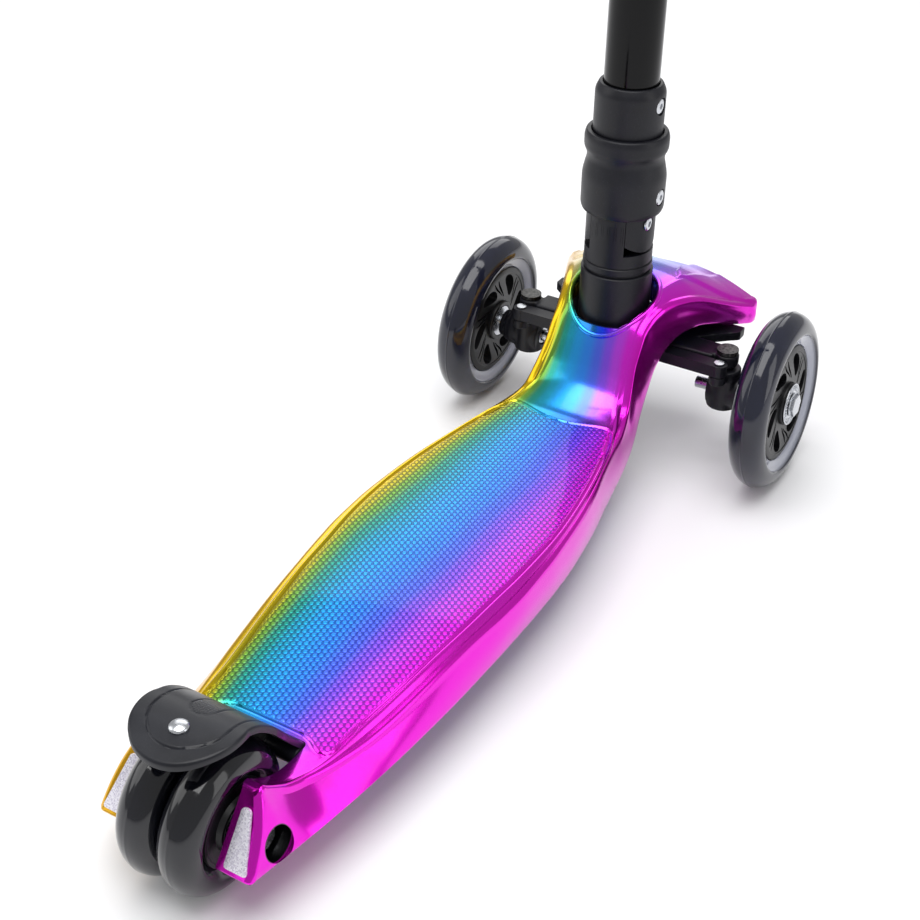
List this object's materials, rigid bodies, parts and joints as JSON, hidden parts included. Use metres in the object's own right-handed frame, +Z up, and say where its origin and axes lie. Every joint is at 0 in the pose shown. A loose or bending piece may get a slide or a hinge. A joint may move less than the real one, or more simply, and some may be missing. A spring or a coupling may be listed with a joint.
{
  "type": "three wheel kids scooter",
  "caption": "Folding lean-to-steer kids' scooter with a plated rainbow deck, big front wheels, twin rear wheels and a rear foot brake.",
  "frame": {"origin": "under the middle of the scooter's box, on the ground", "axes": "+X forward, +Y to the rider's left, +Z up"},
  "size_m": [0.568, 0.283, 0.674],
  "materials": {
    "plated_shell": "vacuum plated and lacquered, gold to green, blue, violet and magenta across the deck",
    "black_nylon": "moulded glass filled nylon, satin",
    "reflector": "prismatic reflective film",
    "smoke_urethane": "smoke grey see-through polyurethane, glossy",
    "wheel_core": "moulded black nylon, satin gloss",
    "zinc_steel": "bright zinc plate",
    "spring_steel": "plain spring steel",
    "black_tube": "gloss black paint",
    "bright_tube": "satin anodised",
    "grip_rubber": "soft moulded rubber"
  },
  "bodies": {
    "deck": {"deck_shell": "plated_shell", "front_axle_housing": "black_nylon", "right_reflector": "reflector", "left_reflector": "reflector", "rear_axle_bolt": "zinc_steel", "rear_axle_nut": "zinc_steel", "rear_spacer": "zinc_steel", "brake_hinge_pin": "zinc_steel", "brake_spring": "spring_steel", "lean_pin": "zinc_steel", "lean_spring": "spring_steel", "right_kingpin": "zinc_steel", "left_kingpin": "zinc_steel"},
    "column_foot": {"column_base": "black_nylon"},
    "stem": {"stem_fork": "black_nylon", "fold_pin": "zinc_steel", "stem_sleeve": "black_nylon", "sleeve_screw": "zinc_steel", "outer_tube": "black_tube", "clamp_ring": "black_nylon", "clamp_bolt": "zinc_steel", "clamp_nut": "zinc_steel"},
    "collar": {"lock_collar": "black_nylon", "collar_screw": "zinc_steel"},
    "height_lever": {"clamp_lever": "black_nylon"},
    "handlebar": {"inner_tube": "bright_tube", "tee_joint": "black_nylon", "handlebar_tube": "black_tube", "right_grip": "grip_rubber", "left_grip": "grip_rubber"},
    "steering_rod": {"tie_rod": "black_nylon"},
    "brake": {"brake_fender": "black_nylon", "brake_pad": "spring_steel", "brake_rivet": "zinc_steel"},
    "right_steering": {"right_knuckle": "black_nylon", "right_tie_rod_pin": "zinc_steel", "right_front_axle_bolt": "zinc_steel", "right_front_axle_nut": "zinc_steel", "right_front_washer": "zinc_steel"},
    "right_front_wheel": {"right_front_tyre": "smoke_urethane", "right_front_wheel_core": "wheel_core", "right_front_outer_bearing": "zinc_steel", "right_front_inner_bearing": "zinc_steel"},
    "right_rear_wheel": {"right_rear_tyre": "smoke_urethane", "right_rear_wheel_core": "wheel_core", "right_rear_bearing": "zinc_steel"},
    "left_steering": {"left_knuckle": "black_nylon", "left_tie_rod_pin": "zinc_steel", "left_front_axle_bolt": "zinc_steel", "left_front_axle_nut": "zinc_steel", "left_front_washer": "zinc_steel"},
    "left_front_wheel": {"left_front_tyre": "smoke_urethane", "left_front_wheel_core": "wheel_core", "left_front_outer_bearing": "zinc_steel", "left_front_inner_bearing": "zinc_steel"},
    "left_rear_wheel": {"left_rear_tyre": "smoke_urethane", "left_rear_wheel_core": "wheel_core", "left_rear_bearing": "zinc_steel"}
  },
  "joints": [
    {"name": "column_lean", "type": "hinge", "parent": "deck", "child": "column_foot", "pos_m": [0.197, 0, 0.095], "axis": [1, 0, 0], "range_deg": [-7, 7], "stiffness_Nm_per_rad": 60},
    {"name": "right_steer", "type": "hinge", "parent": "deck", "child": "right_steering", "pos_m": [0.221, -0.074, 0.06], "axis": [0, 0, 1], "range_deg": [-7, 7]},
    {"name": "left_steer", "type": "hinge", "parent": "deck", "child": "left_steering", "pos_m": [0.221, 0.074, 0.06], "axis": [0, 0, 1], "range_deg": [-7, 7]},
    {"name": "tie_rod_slide", "type": "slide", "parent": "deck", "child": "steering_rod", "axis": [0, 1, 0], "range_m": [-0.00172, 0.00172]},
    {"name": "right_front_wheel_spin", "type": "hinge", "parent": "right_steering", "child": "right_front_wheel", "pos_m": [0.224, -0.1095, 0.05993], "axis": [0, 0.9986, -0.0523], "continuous": true},
    {"name": "left_front_wheel_spin", "type": "hinge", "parent": "left_steering", "child": "left_front_wheel", "pos_m": [0.224, 0.1095, 0.05993], "axis": [0, 0.9986, 0.0523], "continuous": true},
    {"name": "right_rear_wheel_spin", "type": "hinge", "parent": "deck", "child": "right_rear_wheel", "pos_m": [-0.244, -0.0123, 0.04], "axis": [0, 1, 0], "continuous": true},
    {"name": "left_rear_wheel_spin", "type": "hinge", "parent": "deck", "child": "left_rear_wheel", "pos_m": [-0.244, 0.0123, 0.04], "axis": [0, 1, 0], "continuous": true},
    {"name": "stem_fold", "type": "hinge", "parent": "column_foot", "child": "stem", "pos_m": [0.192, 0, 0.178], "axis": [0, 1, 0], "range_deg": [-90, 0]},
    {"name": "collar_lift", "type": "slide", "parent": "stem", "child": "collar", "axis": [0, 0, 1], "range_m": [0, 0.0182]},
    {"name": "height_slide", "type": "slide", "parent": "stem", "child": "handlebar", "axis": [0, 0, 1], "range_m": [0, 0.12]},
    {"name": "clamp_lever_turn", "type": "hinge", "parent": "stem", "child": "height_lever", "pos_m": [0.17, -0.016, 0.484], "axis": [0, 0, 1], "range_deg": [-110, 0]},
    {"name": "brake_press", "type": "hinge", "parent": "deck", "child": "brake", "pos_m": [-0.1975, 0, 0.046], "axis": [0, 1, 0], "range_deg": [-8, 0], "stiffness_Nm_per_rad": 3, "springref_deg": 2.86}
  ],
  "couplings": [
    {"joint": "right_steer", "follows": "column_lean", "ratio": -1},
    {"joint": "left_steer", "follows": "column_lean", "ratio": -1},
    {"joint": "tie_rod_slide", "follows": "column_lean", "m_per_rad": 0.014},
    {"joint": "collar_lift", "follows": "stem_fold", "m_per_rad": -0.01146}
  ]
}
